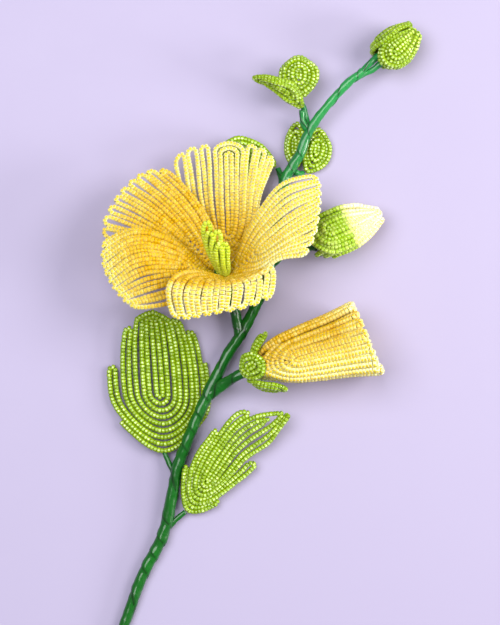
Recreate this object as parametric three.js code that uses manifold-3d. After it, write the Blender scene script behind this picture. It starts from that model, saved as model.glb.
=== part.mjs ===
// A hollyhock spray made by French beading: seed beads strung on fine wire in nested rows,
// with the stems bound in floral tape. It lies on a table at z = 0, its long stem along +Y.
import * as THREE from 'three';
import { mergeVertices } from 'three/addons/utils/BufferGeometryUtils.js';
import Module from 'manifold-3d';

const wasm = await Module();
wasm.setup();

// Driving dimensions, in millimetres
const beadDiameter = 2.1;
const ridgeThickness = beadDiameter - 0.2;
const webThickness = 0.9;
const scallopDepth = 0.024;
const tableTop = 0;
const trimDepth = 40;
const tapeSides = 8;
const tapeStep = 12;
// Sets the middle of the spray's footprint on the origin
const sprayOffset = [-2.2, 28, 0];

const petalYellow = { color: 0xf2cf3a, roughness: 0.35, metalness: 0 };
const leafGreen = { color: 0x8fbf2a, roughness: 0.35, metalness: 0 };
const tapeGreen = { color: 0x1f7a3d, roughness: 0.7, metalness: 0 };
const budGreen = { color: 0xa9cf3e, roughness: 0.35, metalness: 0 };

const spray = new THREE.Group();
spray.position.set(...sprayOffset);

// ---------- Solids and joins ----------

function solidFrom(geometry) {
  const bare = geometry.clone();
  bare.deleteAttribute('normal');
  bare.deleteAttribute('uv');
  const merged = mergeVertices(bare, 1e-4);
  return new wasm.Manifold(new wasm.Mesh({
    numProp: 3,
    vertProperties: new Float32Array(merged.attributes.position.array),
    triVerts: new Uint32Array(merged.index.array),
  }));
}

function geometryFrom(solid) {
  const { vertProperties, triVerts } = solid.getMesh();
  const geometry = new THREE.BufferGeometry();
  geometry.setAttribute('position', new THREE.BufferAttribute(vertProperties, 3));
  geometry.setIndex(new THREE.BufferAttribute(triVerts, 1));
  return geometry;
}

function joined(geometries) {
  const [first, ...others] = geometries.map(solidFrom);
  return geometryFrom(others.reduce((whole, next) => whole.add(next), first));
}

// Whatever would dip below the table is cut off flat
function restedOnTable(geometry) {
  geometry.computeBoundingBox();
  if (geometry.boundingBox.min.z >= tableTop) {
    return geometry;
  }
  const below = new THREE.BoxGeometry(600, 600, trimDepth);
  below.translate(0, 0, tableTop - trimDepth / 2);
  return geometryFrom(solidFrom(geometry).subtract(solidFrom(below)));
}

function place(name, geometry, look) {
  const rested = restedOnTable(geometry);
  rested.computeVertexNormals();
  const mesh = new THREE.Mesh(rested, new THREE.MeshStandardMaterial(look));
  mesh.name = name;
  spray.add(mesh);
}

// ---------- Surfaces that the bead rows lie on ----------
// Each is a function of u, from -1 at one edge to 1 at the other, and v, from 0 at the base to 1.

function lineThrough(points) {
  return new THREE.CatmullRomCurve3(points.map((point) => new THREE.Vector3(...point)));
}

function pointAlong(line, v) {
  const inside = THREE.MathUtils.clamp(v, 0, 1);
  const point = line.getPoint(inside);
  if (inside !== v) {
    point.addScaledVector(line.getTangent(inside), (v - inside) * line.getLength());
  }
  return point;
}

// A sheet bent through three lines: its left edge, its middle and its right edge
function sheetThrough(left, middle, right) {
  const lines = [left, middle, right].map(lineThrough);
  return (u, v) => {
    const [a, b, c] = lines.map((line) => pointAlong(line, v));
    return a.multiplyScalar(u * (u - 1) / 2)
      .addScaledVector(b, 1 - u * u)
      .addScaledVector(c, u * (u + 1) / 2);
  };
}

// A sheet rolled round an axis. Its radius follows a profile at even steps along the axis,
// and one edge lies inside the next sheet, the other outside the last one.
function sheetRolled({ base, tip, profile, stagger, halfAngle, narrowing = 0, skew = 0 }, facing) {
  const start = new THREE.Vector3(...base);
  const axis = new THREE.Vector3(...tip).sub(start);
  const length = axis.length();
  axis.normalize();
  const side = new THREE.Vector3(0, 0, 1).cross(axis).normalize();
  const up = axis.clone().cross(side);
  const radii = lineThrough(profile.map((radius, step) => [step, radius, 0]));
  return (u, v) => {
    const closing = THREE.MathUtils.smoothstep(v, 0.5, 1) * narrowing;
    const angle = THREE.MathUtils.degToRad(facing + u * (halfAngle - closing));
    const radius = pointAlong(radii, v).y + stagger * u;
    const along = length * v * (1 - skew * Math.cos(angle));
    return start.clone()
      .addScaledVector(axis, along)
      .addScaledVector(side, radius * Math.cos(angle))
      .addScaledVector(up, radius * Math.sin(angle));
  };
}

// ---------- Rows of beads: nested loops round the middle of a blade ----------

const turnStations = 3;

// A petal's rows turn round at the base and run out to the rim
function petalRows(turn, corner, sideStations = 3) {
  return {
    last: turnStations + sideStations,
    scalloped: true,
    at(edge, station) {
      if (station <= turnStations) {
        const swing = (Math.PI / 2) * (station / turnStations);
        return [edge * Math.sin(swing), turn - turn * edge * Math.cos(swing)];
      }
      const rim = 1 - corner * edge ** 6;
      return [edge, turn + (rim - turn) * (station - turnStations) / sideStations];
    },
  };
}

// A leaf's rows turn round at the base and meet again at the tip
function leafRows(turn, tipTurn, { pointed = false, sideStations = 1, tipStations = 2 } = {}) {
  const tipStart = turnStations + sideStations;
  return {
    last: tipStart + tipStations,
    at(edge, station) {
      if (station <= turnStations) {
        const swing = (Math.PI / 2) * (station / turnStations);
        return [edge * Math.sin(swing), turn - turn * edge * Math.cos(swing)];
      }
      if (station <= tipStart) {
        return [edge, turn + (tipTurn - turn) * (station - turnStations) / sideStations];
      }
      const share = (station - tipStart) / tipStations;
      const swing = (Math.PI / 2) * share;
      const inward = pointed ? 1 - share : Math.cos(swing);
      const onward = pointed ? share : Math.sin(swing);
      return [edge * inward, tipTurn + (1 - tipTurn) * edge * onward];
    },
  };
}

function surfaceNormal(surface, u, v) {
  const step = 0.01;
  const across = surface(u + step, v).sub(surface(u - step, v));
  const along = surface(u, v + step).sub(surface(u, v - step));
  return across.cross(along).normalize();
}

// A closed blade, ridged along each bead row with a thin web between two rows.
// ends gives the last station of a row that turns back early, as leaf lobes do.
function beadedBlade(surface, layout, rowPairs, ends = { left: {}, right: {} }) {
  const fronts = [];
  const backs = [];
  const known = new Map();

  function cornerAt(line, station, sign) {
    const edge = line / (2 * rowPairs);
    let [u, v] = layout.at(edge, station);
    if (layout.scalloped && station === layout.last && line % 4 === 0 && line > 0) {
      v -= scallopDepth;
    }
    u *= sign;
    const key = `${Math.round(u * 1e5)}/${Math.round(v * 1e5)}`;
    if (!known.has(key)) {
      const centre = surface(u, v);
      const half = surfaceNormal(surface, u, v).multiplyScalar((line % 2 ? ridgeThickness : webThickness) / 2);
      known.set(key, fronts.length);
      fronts.push(centre.clone().add(half));
      backs.push(centre.clone().sub(half));
    }
    return known.get(key);
  }

  const faces = [];
  function addFace(a, b, c, sign) {
    if (a !== b && b !== c && c !== a) {
      faces.push(sign > 0 ? [a, b, c] : [a, c, b]);
    }
  }
  for (const [sign, side] of [[1, ends.right], [-1, ends.left]]) {
    for (let line = 0; line < 2 * rowPairs; line += 1) {
      const lastStation = side[Math.floor(line / 2) + 1] ?? layout.last;
      for (let station = 0; station < lastStation; station += 1) {
        const inner = cornerAt(line, station, sign);
        const outer = cornerAt(line + 1, station, sign);
        const outerNext = cornerAt(line + 1, station + 1, sign);
        const innerNext = cornerAt(line, station + 1, sign);
        addFace(inner, outer, outerNext, sign);
        addFace(inner, outerNext, innerNext, sign);
      }
    }
  }

  const count = fronts.length;
  const open = new Map();
  for (const [a, b, c] of faces) {
    for (const [from, to] of [[a, b], [b, c], [c, a]]) {
      if (!open.delete(`${to}/${from}`)) {
        open.set(`${from}/${to}`, [from, to]);
      }
    }
  }
  const index = faces.flatMap(([a, b, c]) => [a, b, c, a + count, c + count, b + count]);
  for (const [from, to] of open.values()) {
    index.push(from, from + count, to + count, from, to + count, to);
  }
  const geometry = new THREE.BufferGeometry();
  geometry.setFromPoints([...fronts, ...backs]);
  geometry.setIndex(index);
  return geometry;
}

// ---------- Open flower ----------

const petalTurn = 0.34;
const openPetals = {
  petal_top: {
    left: [[-13, 19.8, 12], [-20, 33, 13.5], [-27.5, 48, 13.5], [-32.5, 66.5, 11]],
    middle: [[-10.9, 20.1, 13.1], [-9.3, 35, 16.5], [-8.5, 52, 17], [-8.8, 70.5, 12]],
    right: [[-8.8, 20, 13.3], [1, 33, 18], [4.4, 48, 18.5], [12, 66, 14]],
    corner: 0.09,
  },
  petal_upper_left: {
    left: [[-15.4, 16.8, 14], [-31, 24, 22], [-48, 28, 25], [-62.5, 30.5, 25]],
    middle: [[-14.8, 18.4, 13.6], [-27.5, 32, 20.5], [-40, 43, 22.5], [-52.5, 51, 20]],
    right: [[-12.6, 20.4, 14.4], [-14.5, 34, 19.3], [-23, 48.5, 20], [-35.5, 61.5, 17]],
    corner: 0.1,
  },
  petal_lower_left: {
    left: [[-13.4, 13.6, 17], [-24, 10.5, 30], [-31, 6.5, 36], [-37, -2.5, 35]],
    middle: [[-14.9, 14.7, 16.2], [-31, 19.5, 28], [-46, 18.5, 33], [-58, 13.5, 32]],
    right: [[-15.6, 16.6, 16.4], [-31, 30, 25.6], [-46, 35, 28.6], [-60.5, 33, 28]],
    corner: 0.06,
  },
  petal_bottom: {
    left: [[-12.6, 14.4, 19], [-23.5, 16.8, 29.5], [-32, 14.2, 37.5], [-34.2, 9.8, 40], [-31.5, -3.4, 36]],
    middle: [[-10.3, 13.8, 17.8], [-12, 12.4, 30], [-12, 11.4, 39.5], [-12.5, 7.5, 41.5], [-13, 0.8, 38]],
    right: [[-8.3, 14.6, 17.8], [-2, 14, 28], [5, 15.4, 36], [10, 17.3, 39.5], [9.8, 5.5, 37]],
    corner: 0.06,
    sideStations: 5,
  },
  petal_right: {
    left: [[-8.5, 19.6, 16], [2, 40, 22.5], [13, 54, 24.5], [28.5, 57.5, 23]],
    middle: [[-7.7, 17.6, 16.2], [6, 27.5, 25.5], [17.5, 36, 30], [28, 42, 30]],
    right: [[-7.8, 16.2, 18.5], [3.2, 18.6, 29], [11.5, 22.4, 35], [23, 22.5, 36.5]],
    corner: 0.08,
  },
};
const openPetalPairs = 7;

for (const [name, { left, middle, right, corner, sideStations }] of Object.entries(openPetals)) {
  const sheet = sheetThrough(left, middle, right);
  const rows = petalRows(petalTurn, corner, sideStations);
  place(name, beadedBlade(sheet, rows, openPetalPairs), petalYellow);
}

// The flower's own axis leans up the stem; sepals and stamens are set round it
const throat = new THREE.Vector3(-11.4, 16.8, 15);
const flowerLean = THREE.MathUtils.degToRad(35);
const leanHeading = THREE.MathUtils.degToRad(111);
const flowerAxis = new THREE.Vector3(
  Math.sin(flowerLean) * Math.cos(leanHeading),
  Math.sin(flowerLean) * Math.sin(leanHeading),
  Math.cos(flowerLean),
);
const flowerRight = new THREE.Vector3(0, 0, 1).cross(flowerAxis).negate().normalize();
const flowerUp = flowerRight.clone().cross(flowerAxis).negate();

function fromThroat(radius, degrees, height) {
  const angle = THREE.MathUtils.degToRad(degrees);
  const point = throat.clone()
    .addScaledVector(flowerRight, radius * Math.cos(angle))
    .addScaledVector(flowerUp, radius * Math.sin(angle))
    .addScaledVector(flowerAxis, height);
  return point.toArray();
}

const sepalCount = 5;
const firstSepal = 55;
const sepalHalfWidth = 26;
const sepalPairs = 2;
const sepalReach = [[3.3, -4.6], [6, -3.4], [9.5, -2], [13, -0.8]];
for (let number = 0; number < sepalCount; number += 1) {
  const facing = firstSepal + number * 360 / sepalCount;
  const line = (turn) => sepalReach.map(([radius, height]) => fromThroat(radius, facing - turn, height));
  const sheet = sheetThrough(line(-sepalHalfWidth), line(0), line(sepalHalfWidth));
  place(`open_sepal_${number + 1}`, beadedBlade(sheet, leafRows(0.35, 0.6), sepalPairs), leafGreen);
}

// Stamen column: long bead loops standing up from the throat
const stamenLoops = [
  [[-12.8, 17.1, 16.4], [-17.6, 27, 25], [-19.6, 34, 31.5], [-17.8, 37.2, 34.5],
    [-15.8, 34.5, 32.5], [-14.6, 27, 26], [-11.1, 18.2, 16]],
  [[-11.8, 16.1, 17.1], [-14.6, 25, 29], [-14.4, 30.5, 33.5], [-12.6, 32.4, 35],
    [-11.4, 30, 33.5], [-11, 24, 28.5], [-10.1, 16.9, 17.1]],
];
const stamenSteps = 18;

function roundShape(radius, sides, turn = 0) {
  const corners = Array.from({ length: sides }, (_, corner) => {
    const angle = turn + (2 * Math.PI * corner) / sides;
    return new THREE.Vector2(radius * Math.cos(angle), radius * Math.sin(angle));
  });
  return new THREE.Shape(corners);
}

function tubeAlong(points, radius, steps, sides) {
  return new THREE.ExtrudeGeometry(roundShape(radius, sides), {
    steps,
    bevelEnabled: false,
    extrudePath: lineThrough(points),
  });
}

place(
  'stamen_column',
  joined(stamenLoops.map((loop) => tubeAlong(loop, beadDiameter / 2, stamenSteps, 6))),
  budGreen,
);

// ---------- Half-open flower and buds ----------

const trumpet = {
  base: [2.5, -23.2, 15],
  tip: [48.8, -11.2, 16.4],
  profile: [3.6, 8.4, 10.6, 12.3, 14.8],
  stagger: 1.55,
  halfAngle: 73,
  skew: 0.05,
};
for (const [name, facing] of [['front', 78], ['lower', 318], ['upper', 198]]) {
  const sheet = sheetRolled(trumpet, facing);
  place(`trumpet_petal_${name}`, beadedBlade(sheet, petalRows(0.3, 0.04), 7), petalYellow);
}

const halfBud = {
  base: [25.5, 28.5, 11],
  tip: [56, 40.6, 11],
  profile: [4.4, 8.2, 8.4, 6.2, 3],
  stagger: 1.5,
  halfAngle: 72,
  narrowing: 26,
};
for (const [name, facing] of [['front', 70], ['upper', 190], ['lower', 310]]) {
  const sheet = sheetRolled(halfBud, facing);
  place(`half_bud_petal_${name}`, beadedBlade(sheet, petalRows(0.3, 0.2), 4), budGreen);
}

const topBud = {
  base: [53.2, 105, 9.6],
  tip: [69.6, 118.6, 9.6],
  profile: [4.2, 7.2, 7.7, 6.2, 3.4],
  stagger: 1.5,
  halfAngle: 72,
  narrowing: 22,
};
for (const [name, facing] of [['front', 110], ['lower', 350], ['upper', 230]]) {
  const sheet = sheetRolled(topBud, facing);
  place(`top_bud_petal_${name}`, beadedBlade(sheet, petalRows(0.4, 0.25, 2), 4), leafGreen);
}

// Calyx of the half-open flower: four small sepals round its base
const trumpetSepals = {
  front: {
    left: [[-4.5, -20.5, 18], [-3, -17, 20], [1, -16, 21.6], [4.5, -17, 22.2]],
    middle: [[-3.8, -25.2, 17.6], [-1.5, -23.2, 21.2], [2, -21.4, 23], [6, -20, 23.6]],
    right: [[-1, -29, 17], [2.5, -27.8, 19.6], [5.6, -26.4, 21.2], [8, -24.5, 22]],
  },
  lower: {
    left: [[-2.6, -27.2, 18], [3.5, -28.4, 20.4], [10, -29.6, 21.6], [16, -30.8, 21]],
    middle: [[-1.4, -27.6, 14.5], [4, -31, 16.8], [10, -31.8, 17.4], [16, -32, 17]],
    right: [[-0.6, -27, 10.6], [5, -31, 11], [10.6, -32.4, 12], [15, -32.8, 12.4]],
  },
  upper: {
    left: [[0.4, -20.6, 12], [1.2, -16.2, 11.4], [3, -12.4, 11], [5.4, -8.8, 11.4]],
    middle: [[0.6, -20.2, 15], [1.8, -15.4, 15.2], [4, -11.2, 15], [6.6, -8, 14.6]],
    right: [[0.6, -20.4, 17.6], [1.8, -16.2, 18.4], [4.2, -12.4, 18.4], [6.8, -9, 17.6]],
  },
  under: {
    left: [[-1.2, -20, 11], [2.4, -17, 7.8], [7, -15.6, 5.6], [11.6, -15, 4.4]],
    middle: [[-0.8, -23.4, 11], [3.4, -22.8, 7.8], [8, -22, 5.4], [13.4, -21, 3.6]],
    right: [[-0.4, -26.4, 10.8], [4.4, -28, 8], [8.6, -28.4, 6.2], [13, -27.4, 4.8]],
  },
};
for (const [name, { left, middle, right }] of Object.entries(trumpetSepals)) {
  const sheet = sheetThrough(left, middle, right);
  place(`trumpet_sepal_${name}`, beadedBlade(sheet, leafRows(0.4, 0.6), 3), leafGreen);
}

// ---------- Leaves ----------

// rowPairs counts the loops; leftEnds and rightEnds say at which station an outer loop turns back
const leaves = {
  leaf_large_left: {
    left: [[-53, -55.5, 3.5], [-62.8, -36, 1.1], [-63.6, -15, 1.4], [-56.5, 2.5, 4]],
    middle: [[-36, -58.3, 4], [-38.5, -36, 4.3], [-41, -13, 5], [-43.5, 5.5, 6.5]],
    right: [[-23.5, -55.5, 1.8], [-17.2, -40.5, 1.3], [-18.6, -18, 1.6], [-22, 1, 4]],
    layout: leafRows(0.36, 0.84, { pointed: true, sideStations: 4, tipStations: 2 }),
    rowPairs: 9,
    ends: { left: { 5: 7, 6: 7, 7: 5, 8: 5, 9: 2 }, right: { 5: 7, 6: 7, 7: 6, 8: 6, 9: 5 } },
  },
  leaf_large_right: {
    left: [[-30.2, -79, 4], [-26.2, -64, 8.5], [-12, -47.5, 12], [1.5, -35.5, 12.5]],
    middle: [[-26.4, -83.6, 2.6], [-16.4, -68.5, 7.5], [-2.6, -54.6, 10], [20, -38.6, 10.5]],
    right: [[-15.5, -86, 1.6], [-4.6, -73.5, 3], [7, -61.6, 4.5], [14, -46, 8.5]],
    layout: leafRows(0.3, 0.8, { pointed: true, sideStations: 3, tipStations: 2 }),
    rowPairs: 6,
    ends: { left: { 5: 6, 6: 5 }, right: { 5: 6, 6: 4 } },
  },
  leaf_round_top: {
    left: [[15.5, 90.6, 9], [12.4, 96.2, 10], [12.4, 102, 11], [15.5, 107, 10.5]],
    middle: [[20.8, 89.4, 9.6], [20.5, 95.6, 11.6], [20.3, 102, 12.4], [20.2, 107.6, 11.6]],
    right: [[26, 90.6, 9], [28.7, 96.2, 10], [28.6, 102, 10.8], [25.2, 107, 10.5]],
    layout: leafRows(0.5, 0.6),
    rowPairs: 4,
  },
  leaf_folded_top: {
    left: [[23.6, 88, 13], [18.6, 95, 17.4], [10, 97, 19.5], [2, 99.4, 18]],
    middle: [[22.4, 85.6, 10.6], [16.6, 91.2, 14.4], [9.4, 95.4, 16.4], [0.8, 98, 15.5]],
    right: [[20.6, 84.8, 8.6], [14.6, 88.4, 10.4], [8.6, 93.6, 12.4], [1.4, 96.4, 13]],
    layout: leafRows(0.4, 0.6, { sideStations: 2 }),
    rowPairs: 3,
  },
  leaf_round_right: {
    left: [[21.6, 62.6, 2.6], [21.4, 67.6, 3], [22.6, 73, 3], [25, 77.4, 2.8]],
    middle: [[23.6, 58.6, 1.8], [27, 64.6, 2.6], [28.6, 71, 3], [29, 78, 2.6]],
    right: [[27.6, 58, 1.4], [32.6, 62.6, 1.2], [34.4, 69, 1.4], [32.4, 76, 1.8]],
    layout: leafRows(0.5, 0.6),
    rowPairs: 3,
  },
  leaf_round_left: {
    left: [[16.8, 60.6, 1.4], [14.6, 67, 1.2], [14.9, 73.4, 1.4], [17.6, 80, 2]],
    middle: [[18.4, 60, 2], [17.4, 66.6, 2.6], [17.8, 73.4, 2.8], [19.4, 80.4, 2.8]],
    right: [[20, 60.6, 2.4], [19.6, 66.6, 3.2], [20.2, 72.6, 3.4], [21.2, 79.6, 3]],
    layout: leafRows(0.45, 0.6),
    rowPairs: 2,
  },
  leaf_behind_petal: {
    left: [[9.4, 59, 2.6], [1, 59, 2], [-7, 61, 2], [-13, 65.4, 3]],
    middle: [[11.4, 61.6, 4], [2.4, 64.6, 5], [-6, 67, 5.6], [-14, 68.6, 5.4]],
    right: [[12.4, 64, 5.4], [3, 70, 7], [-6, 73, 8], [-13, 71.8, 7]],
    layout: leafRows(0.4, 0.6, { sideStations: 2 }),
    rowPairs: 3,
  },
};
for (const [name, { left, middle, right, layout, rowPairs, ends }] of Object.entries(leaves)) {
  place(name, beadedBlade(sheetThrough(left, middle, right), layout, rowPairs, ends), leafGreen);
}

// ---------- Taped stems ----------

// A stem that tapers: rings of corners along a line, closed by flat ends
function taperedStem(points, radii) {
  const line = lineThrough(points);
  const sizes = lineThrough(radii.map((radius, step) => [step, radius, 0]));
  const steps = Math.max(3, Math.round(line.getLength() / tapeStep));
  const frames = line.computeFrenetFrames(steps, false);
  const corners = [];
  const index = [];
  for (let step = 0; step <= steps; step += 1) {
    const centre = line.getPointAt(step / steps);
    const radius = sizes.getPoint(line.getUtoTmapping(step / steps)).y;
    for (const { x, y } of roundShape(radius, tapeSides).getPoints().slice(0, tapeSides)) {
      corners.push(centre.clone()
        .addScaledVector(frames.normals[step], x)
        .addScaledVector(frames.binormals[step], y));
    }
  }
  const ring = (step, corner) => step * tapeSides + (corner % tapeSides);
  for (let step = 0; step < steps; step += 1) {
    for (let corner = 0; corner < tapeSides; corner += 1) {
      index.push(ring(step, corner), ring(step, corner + 1), ring(step + 1, corner + 1));
      index.push(ring(step, corner), ring(step + 1, corner + 1), ring(step + 1, corner));
    }
  }
  for (let corner = 1; corner < tapeSides - 1; corner += 1) {
    index.push(ring(0, 0), ring(0, corner + 1), ring(0, corner));
    index.push(ring(steps, 0), ring(steps, corner), ring(steps, corner + 1));
  }
  const geometry = new THREE.BufferGeometry();
  geometry.setFromPoints(corners);
  geometry.setIndex(index);
  return geometry;
}

const stemLines = {
  main: {
    points: [[-66, -178, 1.7], [-52.3, -129.7, 2.2], [-44.8, -109.8, 2.8], [-36.5, -93.2, 3.6],
      [-30.4, -65.4, 5.6], [-24.2, -48.8, 7.4], [-18.7, -36.3, 7.7], [-9.4, -17.6, 7.4],
      [-2.6, -7.3, 7], [8.3, 18.5, 6.4], [14.1, 54.6, 7.2], [20.8, 66.2, 7.4], [24.4, 75.3, 8],
      [32.4, 86.5, 9], [40.7, 95.7, 10], [47.3, 101, 10.4]],
    radii: [1.9, 2.1, 2.2, 2.4, 2.6, 2.8, 2.9, 2.7, 2.4, 2.1, 2.1, 2.1, 1.9, 1.7, 1.7, 1.7],
  },
  budWires: { points: [[46, 100, 10.4], [49.8, 103.9, 10.8], [54, 107.6, 10]], radii: [1.2, 1.2, 1.4] },
  budWiresPair: { points: [[46, 99.4, 9.8], [51.4, 101.6, 9.4], [55.8, 105.2, 9.4]], radii: [1.2, 1.1, 1.4] },
  flowerStalk: {
    points: [[-4.4, -9.4, 6.8], [-5.6, -3, 6.4], [-7.6, 5, 6.2], [-9.6, 12.2, 8.2], [-10.6, 14.7, 11.7], [-11.5, 17.1, 15.5]],
    radii: [2.2, 2, 1.9, 2, 2.4, 3.4],
  },
  trumpetStalk: {
    points: [[-17.4, -34.6, 7.6], [-12.4, -31, 9.4], [-6, -26.8, 12.6], [4.4, -22.7, 15.1]],
    radii: [2.3, 2.2, 2, 1.9],
  },
  halfBudStalk: {
    points: [[9.4, 21, 6.4], [14, 24.6, 8.4], [20, 26.6, 10.4], [27.2, 29.2, 11]],
    radii: [1.9, 1.7, 1.7, 3.2],
  },
  leftLeafStalk: { points: [[-31.4, -69.4, 5], [-33.6, -63.6, 4.2], [-35.1, -59.7, 3.7]], radii: [1.3, 1.2, 1] },
  rightLeafStalk: { points: [[-37.2, -93.6, 3.6], [-31.6, -87, 3.2], [-27.2, -84, 2.7]], radii: [1.5, 1.3, 1] },
  foldedLeafStalk: { points: [[23.6, 76.6, 8], [22, 80.6, 8.4], [21.8, 84.8, 9.2]], radii: [1.3, 1.1, 1] },
  roundLeafStalk: { points: [[24.2, 77, 8], [23.4, 82.6, 6.6], [21.4, 89, 8.2]], radii: [1.3, 1.1, 1] },
  roundPairStalk: { points: [[18.8, 59, 6.4], [20.8, 58.4, 3.4], [22.4, 58.8, 2]], radii: [1.3, 1.1, 1] },
  hiddenPairStalk: { points: [[16, 56.6, 6.4], [17, 57.6, 3.2], [18, 59.4, 2]], radii: [1.3, 1.1, 1] },
  behindLeafStalk: { points: [[13.2, 54.4, 6.8], [12.8, 57.6, 5.4], [11.8, 60.6, 4.4]], radii: [1.3, 1.1, 1] },
};
const tapedStems = joined(Object.values(stemLines).map(({ points, radii }) => taperedStem(points, radii)));
place('taped_stems', tapedStems, tapeGreen);

export default spray;
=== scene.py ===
import math

import bpy
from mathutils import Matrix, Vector, noise


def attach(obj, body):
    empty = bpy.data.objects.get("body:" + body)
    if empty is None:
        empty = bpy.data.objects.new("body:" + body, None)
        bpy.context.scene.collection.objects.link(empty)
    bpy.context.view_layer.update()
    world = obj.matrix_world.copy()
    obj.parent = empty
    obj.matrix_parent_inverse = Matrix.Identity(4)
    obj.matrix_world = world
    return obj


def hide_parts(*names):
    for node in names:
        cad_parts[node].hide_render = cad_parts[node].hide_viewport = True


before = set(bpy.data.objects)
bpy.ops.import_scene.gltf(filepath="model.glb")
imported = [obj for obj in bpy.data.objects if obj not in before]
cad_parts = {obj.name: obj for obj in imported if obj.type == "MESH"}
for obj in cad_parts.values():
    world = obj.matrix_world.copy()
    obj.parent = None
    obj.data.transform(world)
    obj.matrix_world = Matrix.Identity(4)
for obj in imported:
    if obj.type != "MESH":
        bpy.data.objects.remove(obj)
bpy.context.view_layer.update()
print("frame loaded:", len(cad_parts), "CAD nodes")

mm = 0.001
sprayOffset = Vector((-2.2, 28, 0))  # the points below are set out about the open flower
scene = bpy.context.scene

# Seed beads and the wire that they are strung on, in millimetres
seedBead = {
    "width": 2.1,
    "length": 1.46,
    "hole": 0.7,
    "pitch": 1.46,
    "sizeSpread": 0.035,
    "leanSpread": 0.1,
    "wire": 0.32,
}


# Node trees

def newTree(name, kind, inputs, outputs):
    tree = bpy.data.node_groups.new(name, kind)
    for inOut, sockets in (("INPUT", inputs), ("OUTPUT", outputs)):
        for label, (kindOfSocket, *value) in sockets.items():
            socket = tree.interface.new_socket(
                label, in_out=inOut, socket_type=f"NodeSocket{kindOfSocket}"
            )
            if value:
                socket.default_value = value[0]
    return tree


def setSockets(tree, node, sockets):
    for key, value in sockets.items():
        if isinstance(value, bpy.types.NodeSocket):
            tree.links.new(value, node.inputs[key])
        else:
            node.inputs[key].default_value = value


# A node stands one column to the right of the furthest node that it takes from
def addNode(tree, kind, sockets=None, **settings):
    node = tree.nodes.new(kind)
    for key, value in settings.items():
        setattr(node, key, value)
    sockets = sockets or {}
    setSockets(tree, node, sockets)
    givers = [value.node for value in sockets.values() if isinstance(value, bpy.types.NodeSocket)]
    across = 200 + max((giver.location.x for giver in givers), default=-200)
    above = [other for other in tree.nodes if other.location.x == across]
    node.location = (across, -180 * len(above))
    return node


def firstOutput(tree, kind, sockets=None, **settings):
    return addNode(tree, kind, sockets, **settings).outputs[0]


def mathNode(tree, operation, a, b, **settings):
    return firstOutput(tree, "ShaderNodeMath", {0: a, 1: b}, operation=operation, **settings)


def mapRange(tree, value, fromRange, toRange=(0.0, 1.0)):
    sockets = {0: value, 1: fromRange[0], 2: fromRange[1], 3: toRange[0], 4: toRange[1]}
    return firstOutput(tree, "ShaderNodeMapRange", sockets)


def joinXYZ(tree, x, y, z):
    return firstOutput(tree, "ShaderNodeCombineXYZ", {"X": x, "Y": y, "Z": z})


def randomNumber(tree, low, high, seed):
    return addNode(tree, "FunctionNodeRandomValue", {2: low, 3: high, "Seed": seed}).outputs[1]


def evenSteps(tree, line, step):
    sockets = {"Curve": line, "Length": step}
    return firstOutput(tree, "GeometryNodeResampleCurve", sockets, mode="LENGTH")


def circleLine(tree, sides, radius):
    return firstOutput(tree, "GeometryNodeCurvePrimitiveCircle", {"Resolution": sides, "Radius": radius})


def storeValue(tree, geometry, name, value, domain="POINT"):
    sockets = {"Geometry": geometry, "Name": name, "Value": value}
    return firstOutput(tree, "GeometryNodeStoreNamedAttribute", sockets, domain=domain)


def giveMaterial(tree, geometry, material):
    return firstOutput(tree, "GeometryNodeSetMaterial", {"Geometry": geometry, "Material": material})


# The section of a bead's wall is a hexagon, its two ends pushed away from the hole by barrel
beadForm = {"sectionSides": 6, "sectionReach": 0.866, "barrel": 0.55, "roundSides": 8}


def oneBead(tree, given):
    wall = mathNode(tree, "SUBTRACT", given["Bead Width"], given["Hole Width"])
    halfWall = mathNode(tree, "MULTIPLY", wall, 0.25)
    reach = mathNode(tree, "ADD", given["Bead Width"], given["Hole Width"])
    ringRadius = mathNode(tree, "MULTIPLY", reach, 0.25)
    halfLength = mathNode(tree, "MULTIPLY", given["Bead Length"], 0.5)
    section = circleLine(tree, beadForm["sectionSides"], 1.0)
    turn = (0, 0, math.pi / beadForm["sectionSides"])
    upright = firstOutput(tree, "GeometryNodeTransform", {"Geometry": section, "Rotation": turn})
    place = firstOutput(tree, "GeometryNodeInputPosition")
    parts = addNode(tree, "ShaderNodeSeparateXYZ", {0: place}).outputs
    outward = mathNode(tree, "ABSOLUTE", parts["X"], 0.0)
    shoulder = mapRange(tree, outward, (0.0, beadForm["sectionReach"]), (beadForm["barrel"], 0.0))
    push = joinXYZ(tree, shoulder, 0.0, 0.0)
    fuller = firstOutput(tree, "GeometryNodeSetPosition", {"Geometry": upright, "Offset": push})
    wallScale = mathNode(tree, "DIVIDE", halfWall, beadForm["sectionReach"])
    scale = joinXYZ(tree, wallScale, halfLength, 1.0)
    shaped = firstOutput(tree, "GeometryNodeTransform", {"Geometry": fuller, "Scale": scale})
    ring = circleLine(tree, beadForm["roundSides"], ringRadius)
    bead = firstOutput(tree, "GeometryNodeCurveToMesh", {"Curve": ring, "Profile Curve": shaped})
    return firstOutput(tree, "GeometryNodeSetShadeSmooth", {"Geometry": bead})


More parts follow.
